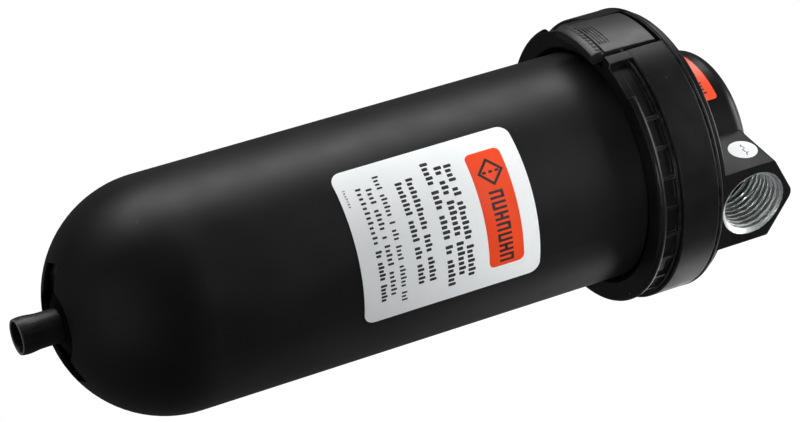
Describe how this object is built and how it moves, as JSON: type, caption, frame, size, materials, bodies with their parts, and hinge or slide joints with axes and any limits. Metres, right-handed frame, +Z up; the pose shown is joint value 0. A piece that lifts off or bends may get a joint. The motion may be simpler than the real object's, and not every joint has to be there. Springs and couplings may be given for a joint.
{
  "type": "compressed air filter",
  "caption": "Compressed air filter: cast head with side ports, bayonet lock collar with latch, metal bowl guard over a plastic bowl, element inside and float drain below.",
  "frame": {"origin": "on the bowl axis, at the open tip of the drain tube, which is the lowest point", "axes": "+Z up the bowl axis towards the head, +X out of the outlet port, -Y roughly towards the latch"},
  "size_m": [0.0888, 0.0898, 0.2361],
  "materials": {
    "black_paint": "satin black enamel on a zinc casting",
    "guard_paint": "semi-matte black powder coat on aluminium",
    "collar_plastic": "satin black moulded nylon",
    "latch_plastic": "fine-textured dark grey moulding",
    "dark_plastic": "moulded",
    "drain_plastic": "moulded, slightly glossy",
    "bowl_plastic": "dark smoke-tinted polycarbonate",
    "rubber": "nitrile rubber",
    "filter_media": "pleated filter media",
    "steel": "plain steel",
    "float_plastic": "natural moulding",
    "white_film": "printed vinyl",
    "orange_film": "printed vinyl"
  },
  "bodies": {
    "head": {"head_body": "black_paint", "head_label": "orange_film", "dot_sticker": "white_film", "upper_gasket": "rubber", "deflector": "dark_plastic", "upper_cap": "dark_plastic", "filter_media": "filter_media", "core_tube": "steel", "lower_cap": "dark_plastic", "lower_gasket": "rubber", "baffle": "dark_plastic", "retaining_nut": "dark_plastic", "tie_rod": "steel"},
    "bowl_unit": {"bowl_guard": "guard_paint", "bowl": "bowl_plastic", "bowl_seal": "rubber", "guard_label": "white_film", "drain_body": "dark_plastic", "drain_gasket": "rubber", "drain_nut": "drain_plastic", "drain_screen": "steel", "drain_spring": "steel"},
    "collar": {"lock_collar": "collar_plastic", "latch_pin": "steel", "latch_spring": "steel"},
    "latch": {"latch_lever": "latch_plastic"},
    "drain_push_tube": {"drain_tube": "drain_plastic"},
    "float": {"drain_float": "float_plastic", "float_pad": "rubber"}
  },
  "joints": [
    {"name": "bowl_drop", "type": "slide", "parent": "head", "child": "bowl_unit", "axis": [0, 0, -1], "range_m": [0, 0.13]},
    {"name": "collar_turn", "type": "hinge", "parent": "bowl_unit", "child": "collar", "pos_m": [0, 0, 0.1872], "axis": [0, 0, 1], "range_deg": [0, 30]},
    {"name": "latch_press", "type": "hinge", "parent": "collar", "child": "latch", "pos_m": [-0.00381, -0.04102, 0.1942], "axis": [0.9957, -0.0924, 0], "range_deg": [0, 8], "stiffness_Nm_per_rad": 0.3, "springref_deg": -11.46},
    {"name": "drain_push", "type": "slide", "parent": "bowl_unit", "child": "drain_push_tube", "axis": [0, 0, 1], "range_m": [0, 0.0025], "stiffness_N_per_m": 800, "springref_m": -0.005, "deforming": ["drain_spring"]},
    {"name": "float_rise", "type": "slide", "parent": "bowl_unit", "child": "float", "axis": [0, 0, 1], "range_m": [0, 0.005]}
  ]
}
